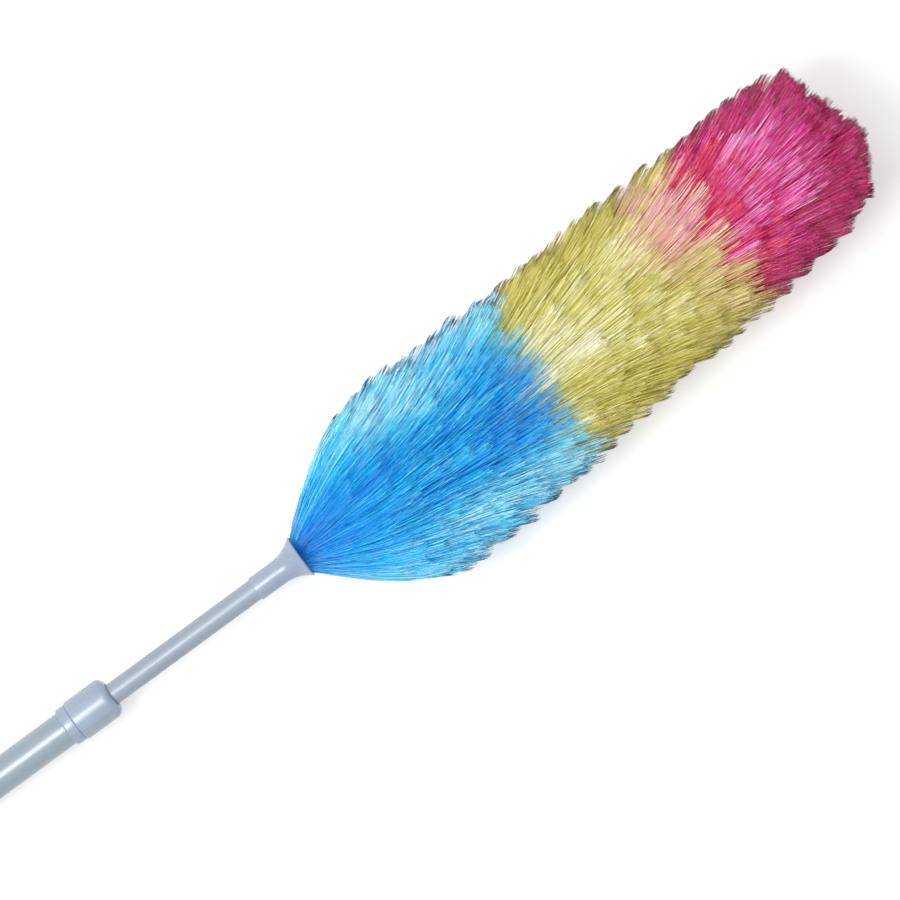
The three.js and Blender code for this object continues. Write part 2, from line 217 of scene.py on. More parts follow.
def wire_steel():
    """Drawn steel wire with die lines and a few dull spots."""
    material, tree, shader = new_material("wire_steel")
    lines = noise(tree, object_coords(tree, (20, 1500, 1500)), detail=3.0)
    spots = noise(tree, object_coords(tree), scale=180.0, detail=4.0)
    base = ramp(tree, spots, [(0.35, (0.24, 0.22, 0.20)), (0.6, (0.52, 0.52, 0.53))])
    tree.links.new(base, shader.inputs["Base Color"])
    tree.links.new(spread(tree, lines, low=0.25, high=0.5), shader.inputs["Roughness"])
    set_plain(shader, Metallic=1.0)
    return material


TUBE_COAT = coated_steel("outer_tube_coat", (0.29, 0.36, 0.41), (0.27, 0.33, 0.39), 0.26)
INNER_COAT = coated_steel("inner_tube_coat", (0.31, 0.37, 0.43), (0.29, 0.34, 0.40), 0.38)
POLE_PLASTIC = moulded_plastic("pole_plastic", (0.33, 0.40, 0.50), (0.30, 0.37, 0.46))
FERRULE_PLASTIC = moulded_plastic("ferrule_plastic", (0.33, 0.40, 0.51), (0.30, 0.37, 0.48))
HIDDEN_PLASTIC = moulded_plastic("hidden_plastic", (0.66, 0.69, 0.71), (0.60, 0.63, 0.66))
WIRE = wire_steel()

# ---------------------------------------------------------------- fibre materials

# Each strand has a tone, from 0 to 1. Low tones mark strands of a special kind, and a colour's
# usual tones run from its darkest one up to 1.
SHADED_POINT_TONE = 0.03  # a strand in the dull colours of DULL_TONE with a dark point: painted shade
DULL_TONE = 0.05
DARKEST_BLUE = 0.10
STAIN_TONE = 0.065
PINK_IN_YELLOW = (0.08, 0.13)
TAN_IN_YELLOW = (0.18, 0.24)
DARKEST_YELLOW = 0.28
CRIMSON_IN_PINK = (0.07, 0.09)
DARKEST_PINK = 0.12

STRAND_LAYOUT = "OFBake"  # the strands' UV layer: tone across, root to tip along
STRAND_MIDDLE = 0.6  # a strand's way from root to tip where its middle colour is reached
SHADED_POINT = (0.91, 0.96)  # the way where a point's painted shade starts, and where it is full
FIBRE_GLOW = 0.09

# tones: (tone, root colour, middle colour, tip colour)
FIBRE_LOOKS = {
    "blue": {
        "glow": (0.0, 0.20, 0.80),
        # the colour of painted highlight streaks
        "painted_highlight": (0.80, 0.97, 0.99),
        # the colour of dark points of painted shade
        "point_shade": (0.01, 0.05, 0.13),
        "tones": [
            (DULL_TONE, (0.01, 0.36, 0.80), (0.10, 0.68, 0.90), (0.24, 0.80, 0.93)),
            (DARKEST_BLUE, (0.003, 0.18, 0.70), (0.004, 0.30, 0.84), (0.006, 0.40, 0.88)),
            (0.45, (0.004, 0.36, 0.88), (0.006, 0.56, 0.945), (0.012, 0.70, 0.96)),
            (0.80, (0.02, 0.62, 0.92), (0.10, 0.86, 0.97), (0.26, 0.93, 0.98)),
            (1.00, (0.12, 0.74, 0.95), (0.46, 0.95, 0.98), (0.78, 0.98, 0.99)),
        ],
    },
    "yellow": {
        "glow": (0.80, 0.70, 0.10),
        "painted_highlight": (0.985, 0.985, 0.90),
        "point_shade": (0.09, 0.05, 0.01),
        "tones": [
            (DULL_TONE, (0.32, 0.26, 0.03), (0.48, 0.41, 0.07), (0.54, 0.47, 0.11)),
            (PINK_IN_YELLOW[0], (0.88, 0.10, 0.25), (0.93, 0.22, 0.45), (0.96, 0.42, 0.72)),
            (0.22, (0.68, 0.44, 0.12), (0.88, 0.68, 0.30), (0.92, 0.78, 0.44)),
            (DARKEST_YELLOW, (0.42, 0.33, 0.02), (0.59, 0.52, 0.05), (0.65, 0.58, 0.10)),
            (0.48, (0.80, 0.74, 0.16), (0.945, 0.938, 0.35), (0.960, 0.956, 0.51)),
            (0.80, (0.88, 0.85, 0.32), (0.975, 0.970, 0.61), (0.985, 0.980, 0.77)),
            (1.00, (0.92, 0.89, 0.50), (0.985, 0.98, 0.84), (0.99, 0.985, 0.93)),
        ],
    },
    "pink": {
        "glow": (0.80, 0.02, 0.20),
        "painted_highlight": (0.99, 0.86, 0.98),
        "point_shade": (0.06, 0.001, 0.01),
        "tones": [
            (DULL_TONE, (0.36, 0.002, 0.02), (0.46, 0.004, 0.06), (0.50, 0.007, 0.12)),
            (CRIMSON_IN_PINK[0], (0.60, 0.001, 0.02), (0.72, 0.001, 0.05), (0.76, 0.002, 0.08)),
            (CRIMSON_IN_PINK[1], (0.64, 0.001, 0.03), (0.76, 0.002, 0.09), (0.80, 0.004, 0.15)),
            (DARKEST_PINK, (0.40, 0.002, 0.02), (0.50, 0.003, 0.08), (0.55, 0.006, 0.16)),
            (0.40, (0.78, 0.004, 0.06), (0.90, 0.011, 0.30), (0.92, 0.03, 0.47)),
            (0.80, (0.88, 0.015, 0.16), (0.96, 0.17, 0.66), (0.975, 0.40, 0.86)),
            (1.00, (0.93, 0.15, 0.40), (0.98, 0.55, 0.86), (0.985, 0.76, 0.95)),
        ],
    },
}


def strand_layout(tree):
    """The strands' layout, and its two parts: a strand's tone and the way from root to tip."""
    layout = tree.nodes.new("ShaderNodeUVMap")
    layout.uv_map = STRAND_LAYOUT
    parts = tree.nodes.new("ShaderNodeSeparateXYZ")
    tree.links.new(layout.outputs["UV"], parts.inputs["Vector"])
    return layout.outputs["UV"], parts.outputs["X"], parts.outputs["Y"]


def dye_and_painted_light(tree, tone, way, tones):
    """A strand's colour at its tone: its own, with painted shade at the root and painted highlight at
    the tip.
    """
    at_root = ramp(tree, tone, [(t, root) for t, root, _, _ in tones])
    at_middle = ramp(tree, tone, [(t, middle) for t, _, middle, _ in tones])
    at_tip = ramp(tree, tone, [(t, tip) for t, _, _, tip in tones])
    lower = blend(tree, rising(tree, way, 0.05, STRAND_MIDDLE), at_root, at_middle)
    return blend(tree, rising(tree, way, STRAND_MIDDLE, 1.0), lower, at_tip)


def painted_highlight_streaks(tree, layout, tone, colour, painted_highlight):
    """Adds short streaks of painted highlight, more of them on paler strands."""
    streaks = noise(tree, stretched(tree, layout, (1400, 7, 1)), detail=1.0)
    paler = spread(tree, tone, low=0.1, high=1.0, start=0.40, end=0.85)
    return blend(tree, product(tree, rising(tree, streaks, 0.56, 0.63), paler), colour, (*painted_highlight, 1.0))


def shade_pointed(tree, tone, way, colour, point_shade):
    """Gives strands with SHADED_POINT_TONE dark points of painted shade in the given colour."""
    has_point_shade = spread(tree, tone, low=1.0, high=0.0, start=SHADED_POINT_TONE + 0.01, end=SHADED_POINT_TONE + 0.02)
    at_point = product(tree, has_point_shade, rising(tree, way, *SHADED_POINT))
    return blend(tree, at_point, colour, (*point_shade, 1.0))


def fibre_material(name, glow, painted_highlight, point_shade, tones):
    """Glossy fibre, coloured by its dye, by painted shade and by painted highlight.

    The thin fibres let light through, which a solid strand does not, so a faint glow makes up
    for it.
    """
    material, tree, shader = new_material(name)
    layout, tone, way = strand_layout(tree)
    grain = noise(tree, stretched(tree, layout, (260, 22, 1)), detail=3.0)
    shade = ramp(tree, grain, [(0.25, (0.92, 0.92, 0.92)), (0.5, (1, 1, 1))])
    colour = blend(tree, 1.0, dye_and_painted_light(tree, tone, way, tones), shade, "MULTIPLY")
    colour = painted_highlight_streaks(tree, layout, tone, colour, painted_highlight)
    colour = shade_pointed(tree, tone, way, colour, point_shade)
    tree.links.new(colour, shader.inputs["Base Color"])
    tree.links.new(spread(tree, grain, low=0.18, high=0.32), shader.inputs["Roughness"])
    set_plain(shader, Specular_IOR_Level=0.7, Coat_Weight=0.4, Coat_Roughness=0.12)
    set_plain(shader, Emission_Color=(*glow, 1.0), Emission_Strength=FIBRE_GLOW)
    return material


FIBRES = {colour: fibre_material(colour + "_fibre", **looks) for colour, looks in FIBRE_LOOKS.items()}

# ---------------------------------------------------------------- mesh helpers

FACETS = 96
SHARP_ANGLE = 35  # degrees; flatter edges are shaded smooth


def add_object(name, data):
    """A mesh, light or camera as an object in the scene."""
    made = bpy.data.objects.new(name, data)
    bpy.context.scene.collection.objects.link(made)
    return made


def finish_mesh(mesh, material):
    """Smooth shading but for the sharp edges, and one material."""
    mesh.polygons.foreach_set("use_smooth", [True] * len(mesh.polygons))
    mesh.set_sharp_from_angle(angle=math.radians(SHARP_ANGLE))
    mesh.materials.clear()
    mesh.materials.append(material)


def add_mesh(name, points, faces, material):
    """A finished piece from points in pole coordinates."""
    mesh = bpy.data.meshes.new(name)
    mesh.from_pydata([tuple(p) for p in place(points)], [], faces)
    finish_mesh(mesh, material)
    return add_object(name, mesh)


def arc(centre_x, centre_r, radius, start, end, steps=6):
    """Points (x, r) on an arc; angles in degrees from the +x direction."""
    angles = np.radians(np.linspace(start, end, steps + 1))
    return [(centre_x + radius * math.cos(a), centre_r + radius * math.sin(a)) for a in angles]


def eased(x_from, r_from, x_to, r_to, steps):
    """Points (x, r) on a smooth step from one radius to another."""
    points = []
    for k in range(steps + 1):
        share = k / steps
        ease = 0.5 * (1 - math.cos(math.pi * share))
        points.append((x_from + (x_to - x_from) * share, r_from + (r_to - r_from) * ease))
    return points


def swell(start, length, base, height, steps):
    """Points (x, r) over a rounded ridge, or through a groove if its height is negative."""
    middle = start + 0.5 * length
    rise = eased(start, base, middle, base + height, steps)
    return rise + eased(middle, base + height, start + length, base, steps)[1:]


def turned(name, outline, material):
    """An outline of (x, r) points turned about the pole's axis.

    It runs from rear to front on the outside and back on the inside, or starts and ends on
    the axis, where its points become single corners.
    """
    points = []
    rows = []
    for x, r in outline:
        if r <= 0:
            rows.append([len(points)] * FACETS)
            points.append((x, 0.0, 0.0))
            continue
        rows.append([len(points) + i for i in range(FACETS)])
        for i in range(FACETS):
            turn = 2 * math.pi * i / FACETS
            points.append((x, r * math.cos(turn), r * math.sin(turn)))
    pairs = list(zip(rows, rows[1:]))
    if outline[0][1] > 0:
        pairs.append((rows[-1], rows[0]))
    faces = []
    for rear, front in pairs:
        for i in range(FACETS):
            k = (i + 1) % FACETS
            corners = [rear[i], rear[k], front[k], front[i]]
            corners = [c for n, c in enumerate(corners) if c != corners[n - 1]]
            faces.append(corners)
    return add_mesh(name, points, faces, material)


def united(first, second, name, material):
    """Two overlapping closed pieces as one."""
    join = first.modifiers.new("join", "BOOLEAN")
    join.operation = "UNION"
    join.solver = "EXACT"
    join.object = second
    depsgraph = bpy.context.evaluated_depsgraph_get()
    mesh = bpy.data.meshes.new_from_object(first.evaluated_get(depsgraph))
    for part in (first, second):
        bpy.data.objects.remove(part)
    mesh.name = name
    finish_mesh(mesh, material)
    return add_object(name, mesh)


def stand_for(piece, node, body):
    """The piece stands for a CAD node and rides on its body."""
    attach(piece, body)
    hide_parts(node)


# ---------------------------------------------------------------- the pole

WALL = {"outer_tube": 0.5 * MM, "inner_tube": 0.45 * MM, "ferrule": 1.4 * MM}
CLEARANCE = 0.3 * MM
OUTER_RADIUS = span("outer_tube")[2]
INNER_RADIUS = span("inner_tube")[2]
PLUG_RADIUS = OUTER_RADIUS - WALL["outer_tube"] - CLEARANCE  # what fits inside the outer tube


def tube(node, body, material):
    """A thin tube with its rims just broken."""
    rear, front, radius = span(node)
    rim = 0.12 * MM
    bore = radius - WALL[node]
    outline = [(rear, radius - rim), (rear + rim, radius), (front - rim, radius)]
    outline += [(front, radius - rim), (front, bore), (rear, bore)]
    stand_for(turned(node + "_shell", outline, material), node, body)


def hand_grip():
    """A sleeve with six rounded finger grooves and a neck that narrows on to the tube."""
    rear, front, radius = span("hand_grip")
    inner = OUTER_RADIUS + CLEARANCE
    neck = inner + 1.7 * MM
    rear_round = 1 * MM
    front_round = 0.6 * MM
    first_groove = rear + 24 * MM
    groove_pitch = 12 * MM
    outline = arc(rear + rear_round, radius - rear_round, rear_round, 180, 90)
    for i in range(6):
        start = first_groove + groove_pitch * i
        outline += swell(start, length=4 * MM, base=radius, height=-1.2 * MM, steps=5)
    outline += eased(front - 14 * MM, radius, front - 1 * MM, neck, 10)
    outline += arc(front - front_round, neck - front_round, front_round, 90, 0, 4)
    outline += [(front, inner), (rear, inner)]
    sleeve = turned("hand_grip_sleeve", outline, POLE_PLASTIC)
    stand_for(sleeve, "hand_grip", "outer_pole")


def collar_base():
    """The flanged sleeve on the tube's mouth, with the ridged neck inside the nut."""
    rear, front, radius = span("collar_base")
    nut_gap = 0.15 * MM
    flange_front = span("lock_nut")[0] - nut_gap
    flange_rear = flange_front - 7 * MM
    tube_front = flange_front - 1 * MM
    rear_round = 1.2 * MM
    front_round = 0.6 * MM
    neck = 10.5 * MM
    outline = arc(flange_rear + rear_round, radius - rear_round, rear_round, 180, 90)
    outline += arc(flange_front - front_round, radius - front_round, front_round, 90, 0, 4)
    outline.append((flange_front, neck))
    first_ridge = flange_front + 3 * MM
    ridge_pitch = 4.5 * MM
    for i in range(3):
        start = first_ridge + ridge_pitch * i
        outline += swell(start, length=1.6 * MM, base=neck, height=0.6 * MM, steps=3)
    # The neck's inside is a cone, where the clamp ring sits, and then a bore for the inner tube.
    bore = INNER_RADIUS + 0.5 * MM
    seat = front - 7.5 * MM
    outline += [(front, neck), (front, 9.8 * MM), (seat, 8.5 * MM), (seat, bore), (rear, bore)]
    sleeve = OUTER_RADIUS + CLEARANCE
    shoulder = tube_front + CLEARANCE
    outline += [(rear, PLUG_RADIUS), (shoulder, PLUG_RADIUS), (shoulder, sleeve), (flange_rear, sleeve)]
    flange = turned("collar_flange", outline, POLE_PLASTIC)
    stand_for(flange, "collar_base", "outer_pole")


def lock_nut():
    """The smooth barrel with a well rounded front, hollow over the collar's neck."""
    rear, front, radius = span("lock_nut")
    bore = INNER_RADIUS + 0.6 * MM
    thread = 11.4 * MM
    cone_front = front - 4.5 * MM
    cone_rear = front - 8 * MM
    rear_round = 0.7 * MM
    front_round = 5 * MM
    lip_round = 0.5 * MM
    outline = arc(rear + rear_round, radius - rear_round, rear_round, 180, 90)
    outline += arc(front - front_round, radius - front_round, front_round, 90, 8, 16)
    outline += arc(front - lip_round, bore + lip_round, lip_round, 0, -90, 4)
    outline += [(cone_front, bore), (cone_front, 8.8 * MM), (cone_rear, 9.9 * MM)]
    outline += [(cone_rear, thread), (rear, thread)]
    barrel = turned("lock_nut_barrel", outline, POLE_PLASTIC)
    stand_for(barrel, "lock_nut", "lock_nut")


def ferrule():
    """The sleeve over the inner tube, flaring on an arc into the cup that holds the fibres."""
    rear, _, mouth = span("ferrule")
    wall = WALL["ferrule"]
    sleeve = 7.9 * MM
    sleeve_length = 16.9 * MM
    flare_length = 16.9 * MM
    turn = 2 * math.atan2(mouth - sleeve, flare_length)
    radius = flare_length / math.sin(turn)
    centre = (rear + sleeve_length, sleeve + radius)
    flared = 270 + math.degrees(turn)
    bore = INNER_RADIUS + 0.25 * MM
    shoulder = span("inner_tube")[1] + CLEARANCE
    rear_round = 0.5 * MM
    outline = arc(rear + rear_round, sleeve - rear_round, rear_round, 180, 90, 4)
    outline += arc(*centre, radius, 270, flared, 24)
    outline += arc(*centre, radius + wall, flared, 270, 24)
    outline += [(shoulder, sleeve - wall), (shoulder, bore), (rear, bore)]
    cup = turned("ferrule_cup", outline, FERRULE_PLASTIC)
    stand_for(cup, "ferrule", "inner_pole")


TAB_HALF = 8 * MM
TAB_HOLE = 4 * MM
TAB_STEPS = 32


def tab_outlines(centre, body_end):
    """The hanging tab's outline and its hole's, as points (x, z)."""
    outer = []
    hole = []
    for k in range(TAB_STEPS):
        turn = 2 * math.pi * k / TAB_STEPS
        x, z = math.cos(turn), math.sin(turn)
        reach = TAB_HALF
        if x > 0:
            # Forward of the hole the tab is straight-sided and runs on into the cap.
            reach = min((body_end - centre) / x, TAB_HALF / max(abs(z), 1e-6))
        outer.append((centre + x * reach, z * reach))
        hole.append((centre + TAB_HOLE * x, TAB_HOLE * z))
    return outer, hole


def hanging_tab(rear, body_end):
    """A rounded tab with a hole, its edges broken, in the plane of the pole's x and z."""
    face = 2.5 * MM
    side = face - 0.6 * MM
    centre = rear + TAB_HALF
    # Scaling the faces' outlines about the hole's centre breaks their edges.
    inset = 0.93
    flare = 1.12
    outer, hole = tab_outlines(centre, body_end)
    rings = [(outer, side, 1.0), (outer, face, inset), (hole, face, flare), (hole, side, 1.0)]
    rings += [(outline, -y, scale) for outline, y, scale in reversed(rings)]
    points = []
    for outline, y, scale in rings:
        points += [(centre + (x - centre) * scale, y, z * scale) for x, z in outline]
    faces = []
    for ring in range(len(rings)):
        here = ring * TAB_STEPS
        following = (ring + 1) % len(rings) * TAB_STEPS
        for k in range(TAB_STEPS):
            n = (k + 1) % TAB_STEPS
            faces.append([here + n, here + k, following + k, following + n])
    return add_mesh("hanging_tab", points, faces, POLE_PLASTIC)


def end_cap():
    """The domed cap plugged into the tube's rear, with its hanging tab."""
    rear, front, radius = span("end_cap")
    grip_rear = span("hand_grip")[0]
    head_rear = grip_rear - 6 * MM
    head_front = grip_rear - CLEARANCE
    dome = 3 * MM
    bevel = 1.5 * MM
    tab_overlap = 2 * MM
    outline = [(head_rear, 0.0)]
    outline += arc(head_rear + dome, radius - dome, dome, 180, 90, 8)
    outline += [(head_front, radius), (head_front, PLUG_RADIUS), (front - bevel, PLUG_RADIUS)]
    outline += [(front, PLUG_RADIUS - bevel), (front, 0.0)]
    body = turned("end_cap_body", outline, POLE_PLASTIC)
    tab = hanging_tab(rear, head_rear + tab_overlap)
    cap = united(body, tab, "end_cap_moulding", POLE_PLASTIC)
    stand_for(cap, "end_cap", "outer_pole")


def kept_nodes():
    """CAD pieces whose own shape is right take a finished material."""
    plastic = ("clamp_ring", "guide_bush", "stop_ring", "bottom_plug", "core_plug", "tip_cap")
    for names, material in ((plastic, HIDDEN_PLASTIC), (("core_wire_a", "core_wire_b"), WIRE)):
        for name in names:
            slots = frame["nodes"][name].data.materials
            slots.clear()
            slots.append(material)


# ---------------------------------------------------------------- the fibre head's shape

TUFT = "pink_tip_tuft"
MOUTH = span("ferrule")[1]
HEAD_LENGTH = span(TUFT)[1] - MOUTH
BEND_POWER = 2.2  # the head's middle line leaves the pole's axis slowly, then faster
SAG = 4.0 * MM  # how far the head's rear half hangs to -y
SAG_LENGTH = 210 * MM
CORE_RADIUS = 3.4 * MM
CUP_RADIUS = 10.2 * MM  # the bunch of fibres that fills the ferrule's cup
OPENING_POWER = 1.35  # how slowly the head's outline leaves the cup
FULLNESS = 0.945  # the brushed-out head's radius, as a share of the CAD rows' own
WAIST = 0.035  # how much less that share is half-way along


def row_reach(node):
    """Where a CAD fibre row's tips are along the pole, and their distance from the middle line."""
    points = pole_points(node)
    top = points[points[:, 2].argmax()]
    return top[0], top[2]


def row_root(node):
    """Where a CAD fibre row starts along the pole."""
    return pole_points(node)[:, 0].min()


def tuft_tip():
    """The foremost point of the head, in pole coordinates."""
    points = pole_points(TUFT)
    return points[points[:, 0].argmax()]


def zone_of(node):
    """The colour that a fibre row's name starts with."""
    return node.split("_")[0]


ROWS = [n for n in frame["nodes"] if zone_of(n) in FIBRES and n != TUFT]
ROWS.sort(key=lambda n: row_reach(n)[0])
TIP_PLACES = np.array([row_reach(n)[0] for n in ROWS])
TIP_RADII = np.array([row_reach(n)[1] for n in ROWS])
TIP_OFFSET = tuft_tip()[1]
SHOULDER = 1.3 * (TIP_PLACES[0] - MOUTH)  # the head reaches its full width this far past the mouth


def middle_line(x):
    """How far the head's middle line has moved to +y at a place along the pole."""
    past = np.clip((x - MOUTH) / HEAD_LENGTH, 0, None)
    sagged = SAG * np.sin(math.pi * np.clip((x - MOUTH) / SAG_LENGTH, 0, 1))
    return TIP_OFFSET * past ** BEND_POWER - sagged


def row_bands():
    """Each row's stretch of the head's surface, where its strands end.

    Rows of one colour meet half-way between their tips; a colour stops just past its last tips.
    """
    past_tips = 3 * MM
    first_ends = 22 * MM
    edges = [MOUTH + first_ends]
    for rear, front in zip(ROWS, ROWS[1:]):
        rear_tip, front_tip = row_reach(rear)[0], row_reach(front)[0]
        same = zone_of(rear) == zone_of(front)
        edges.append(0.5 * (rear_tip + front_tip) if same else rear_tip + past_tips)
    edges.append(row_reach(ROWS[-1])[0] + past_tips)
    return dict(zip(ROWS, zip(edges, edges[1:])))


def head_radius(x):
    """The brushed-out head's radius at a place along the pole.

    It is a little less than the CAD rows' own, most of all at the waist, half-way along.
    """
    opened = np.sin(0.5 * math.pi * np.clip((x - MOUTH) / SHOULDER, 0, 1)) ** OPENING_POWER
    start = 1.25 * CUP_RADIUS
    midway = np.sin(math.pi * np.clip((x - MOUTH) / HEAD_LENGTH, 0, 1)) ** 2
    full = np.interp(x, TIP_PLACES, TIP_RADII) * (FULLNESS - WAIST * midway)
    return start + (full - start) * opened


def rest_on_floor(points):
    """Bends strands in the row frame up from the surface that the duster lies on."""
    softness = 5 * MM
    lift = 0.7 * MM
    z = points[..., 2] - lift
    raised = 0.5 * (z + np.sqrt(z * z + softness * softness)) + lift
    return np.concatenate([points[..., :2], raised[..., None]], axis=-1)


# ---------------------------------------------------------------- meshes of strands

ALONG_STRAND = np.array([0, 0.25, 0.5, 0.75, 0.975, 1])  # a strand's cross-sections, root to point
RINGS = len(ALONG_STRAND) - 1  # the cross-sections with three corners; the last one is the point
TAPER = np.interp(ALONG_STRAND, [0, 0.2, 0.75, 0.975, 1], [0.7, 1.0, 0.95, 0.8, 0.0])
HALF_WIDTHS = (0.15, 0.27)  # of the thinnest and the thickest strand, in mm
RANDOM = np.random.default_rng(20)


def strand_points(centres, widths):
    """Every strand's corners: three round each cross-section, and then its point.

    Each strand is turned about itself at random, so that their faces don't line up.
    """
    tangent = np.gradient(centres, axis=1)
    tangent /= np.linalg.norm(tangent, axis=2, keepdims=True)
    facing = np.cross(tangent, RANDOM.normal(size=(len(centres), 1, 3)))
    facing /= np.linalg.norm(facing, axis=2, keepdims=True)
    across = np.cross(tangent, facing)
    corners = np.radians([0, 120, 240])
    rings = centres[:, :-1, None, :]
    rings = rings + facing[:, :-1, None, :] * (np.cos(corners)[:, None] * widths[:, :-1, None, None])
    rings = rings + across[:, :-1, None, :] * (np.sin(corners)[:, None] * widths[:, :-1, None, None])
    rings = rings.reshape(len(centres), -1, 3)
    return np.concatenate([rings, centres[:, -1:, :]], axis=1)


def strand_faces():
    """One strand's faces: its closed root, its three-sided wall and its point."""
    faces = [[2, 1, 0]]
    for ring in range(RINGS - 1):
        for c in range(3):
            d = (c + 1) % 3
            faces.append([3 * ring + c, 3 * ring + d, 3 * ring + 3 + d, 3 * ring + 3 + c])
    last = 3 * (RINGS - 1)
    return faces + [[last + c, last + (c + 1) % 3, last + 3] for c in range(3)]


def fill_mesh(mesh, points, faces):
    """Gives the mesh every strand's points, and one strand's faces over again for each of them."""
    count, per_strand, _ = points.shape
    sizes = np.tile([len(face) for face in faces], count)
    first_points = per_strand * np.arange(count)[:, None]
    corners = (np.concatenate(faces)[None, :] + first_points).ravel()
    face_starts = np.concatenate([[0], np.cumsum(sizes)[:-1]])
    mesh.vertices.add(count * per_strand)
    mesh.vertices.foreach_set("co", points.astype(np.float32).ravel())
    mesh.loops.add(len(corners))
    mesh.loops.foreach_set("vertex_index", corners.astype(np.int32))
    mesh.polygons.add(len(sizes))
    mesh.polygons.foreach_set("loop_start", face_starts.astype(np.int32))
    mesh.polygons.foreach_set("use_smooth", np.ones(len(sizes), bool))
    mesh.update(calc_edges=True)


def lay_out(mesh, faces, tones):
    """The strands' layout: each in a narrow column at its tone, from root to tip."""
    ring_of = np.append(np.repeat(np.arange(RINGS), 3), RINGS)
    corner_of = np.append(np.tile([0, 1, 2], RINGS), 1)
    pattern = np.concatenate(faces)
    half_column = 1 / 512
    across = np.clip(tones, 0.01, 0.99)[:, None] + half_column * (corner_of[pattern] - 1)
    along = np.broadcast_to(ALONG_STRAND[ring_of[pattern]], across.shape)
    uv = np.stack([across, along], axis=-1).astype(np.float32)
    mesh.uv_layers.new(name=STRAND_LAYOUT).data.foreach_set("uv", uv.ravel())


def add_strands(node, centres, tones):
    """Closed, tapering strands as the piece that stands for a CAD row.

    centres holds each strand's points in the row frame, root first.
    """
    half_widths = RANDOM.uniform(*HALF_WIDTHS, len(tones))[:, None] * MM * TAPER
    zone = zone_of(node)
    name = node.replace("fibre_row", "fibres").replace("tuft", "fibres")
    faces = strand_faces()
    mesh = bpy.data.meshes.new(name)
    fill_mesh(mesh, strand_points(centres, half_widths), faces)
    lay_out(mesh, faces, tones)
    mesh.materials.append(FIBRES[zone])
    stand_for(add_object(name, mesh), node, "inner_pole")


# ---------------------------------------------------------------- chance and patterns

def varied(group, amount):
    """A random variation that each group's strands share."""
    return RANDOM.normal(0, amount, group.max() + 1)[group]


def shared(group, low, high):
    """A random value from low to high that each group's strands share."""
    return RANDOM.uniform(low, high, group.max() + 1)[group]


def by_chance(chance):
    """True or false for each strand, with each one's own chance."""
    return RANDOM.uniform(0, 1, len(chance)) < chance


def risen(value, start, end):
    """0 up to start and 1 from end on, rising evenly between them."""
    return np.clip((value - start) / (end - start), 0, 1)


def patches(past_mouth, around, size, phase):
    """A smooth value from -1 to 1 that comes and goes over the head in patches."""
    along = past_mouth / size
    wave = np.sin(2.1 * along + phase + 1.7 * np.sin(2 * around + phase))
    return wave * np.cos(3 * around - along + phase)


# ---------------------------------------------------------------- where strands lie

LOCKS = 24  # soft bunches of wisps round a row
STRANDS = 13  # strands in a wisp, which end close together
HALF_WISP = 0.12  # in radians about the pole, at the root
STRANDS_PER_LENGTH = 85 / MM  # strands that end on each length of the head
TUFT_STRANDS = 2800
SWEEP = 1.3  # how strongly a strand curves forward from its root to its tip
CRIMP = 0.25 * MM  # how much a strand waves from side to side
DEEPEST = 0.24  # how far under the surface strands end, as a share of the head's radius
CUT_LEAN = 0.5  # the deepest strands reach further forward by this share of their depth
STEP_PITCH = 14 * MM
STEP_HEIGHT = 0.065  # of the head's radius
CORNER = 16 * MM  # the rows' strands are held back over this last stretch of the head
HELD_BACK = 0.7  # the share of their reach past the corner that they lose

# The head's front slants back from its apex. A fall is how far it slants over one head radius.
APEX_SIDE = -0.3  # in head radii to +y of the middle line
APEX_LENGTH = HEAD_LENGTH + 3 * MM  # the apex is just past the CAD tuft's tip
FALL_TO_LEFT = 15 * MM
FALL_TO_RIGHT = 23 * MM
FALL_TO_TOP = 12 * MM


class Bunches:
    """Strands gathered in wisps, and wisps in locks, evenly round the pole."""

    def __init__(self, strands):
        wisps = max(1, round(strands / (LOCKS * STRANDS)))
        self.lock = np.repeat(np.arange(LOCKS), wisps * STRANDS)
        self.wisp = np.repeat(np.arange(LOCKS * wisps), STRANDS)
        self.strand = np.arange(len(self.wisp))
        self.half_lock = math.pi / LOCKS
        # A lock's and a wisp's shifts are in half locks, and a strand's is in half wisps.
        middle = 2 * self.half_lock * np.arange(LOCKS)
        self.middle = (middle + RANDOM.uniform(-0.3, 0.3, LOCKS) * self.half_lock)[self.lock]
        self.wisp_side = RANDOM.uniform(-1.1, 1.1, LOCKS * wisps)[self.wisp]
        self.side = RANDOM.uniform(-1, 1, len(self.wisp))
        self.drift = varied(self.lock, 0.03) + varied(self.wisp, 0.035) + varied(self.strand, 0.035)

    def around(self, u):
        """Each strand's angle about the pole, a share u along it; bunches narrow to their ends."""
        wisp_place = self.wisp_side[:, None] * self.half_lock * (1 - 0.10 * u ** 2)
        half_wisp = (1 - 0.15 * u ** 1.4) * HALF_WISP
        strand_place = self.side[:, None] * half_wisp + self.drift[:, None] * u
        return self.middle[:, None] + wisp_place + strand_place

    def end_around(self):
        """Each strand's angle about the pole at its tip."""
        return self.around(1.0)[:, 0]


def opening(u, sweep):
    """How far a strand has opened, from 0 at its root to 1 at its tip, a share u along."""
    return 1 - (1 - np.clip(u, 0, 1)) ** sweep


def strand_lines(bunches, start_x, start_r, end_x, end_r):
    """The strands' points in the row frame, root first, and their tips' angles about the pole."""
    u = np.broadcast_to(ALONG_STRAND, (len(start_x), len(ALONG_STRAND)))
    sweep = SWEEP * (1 + varied(bunches.wisp, 0.03) + varied(bunches.strand, 0.04))
    x = start_x[:, None] + (end_x - start_x)[:, None] * u
    r = start_r[:, None] + (end_r - start_r)[:, None] * opening(u, sweep[:, None])
    crimp = RANDOM.normal(0, CRIMP, u.shape) * np.sin(0.5 * math.pi * u)
    around = bunches.around(u) + crimp / (r + CUP_RADIUS)
    y = middle_line(x) + r * np.cos(around)
    z = r * np.sin(around)
    return rest_on_floor(place(np.stack([x, y, z], axis=-1))), around[:, -1]


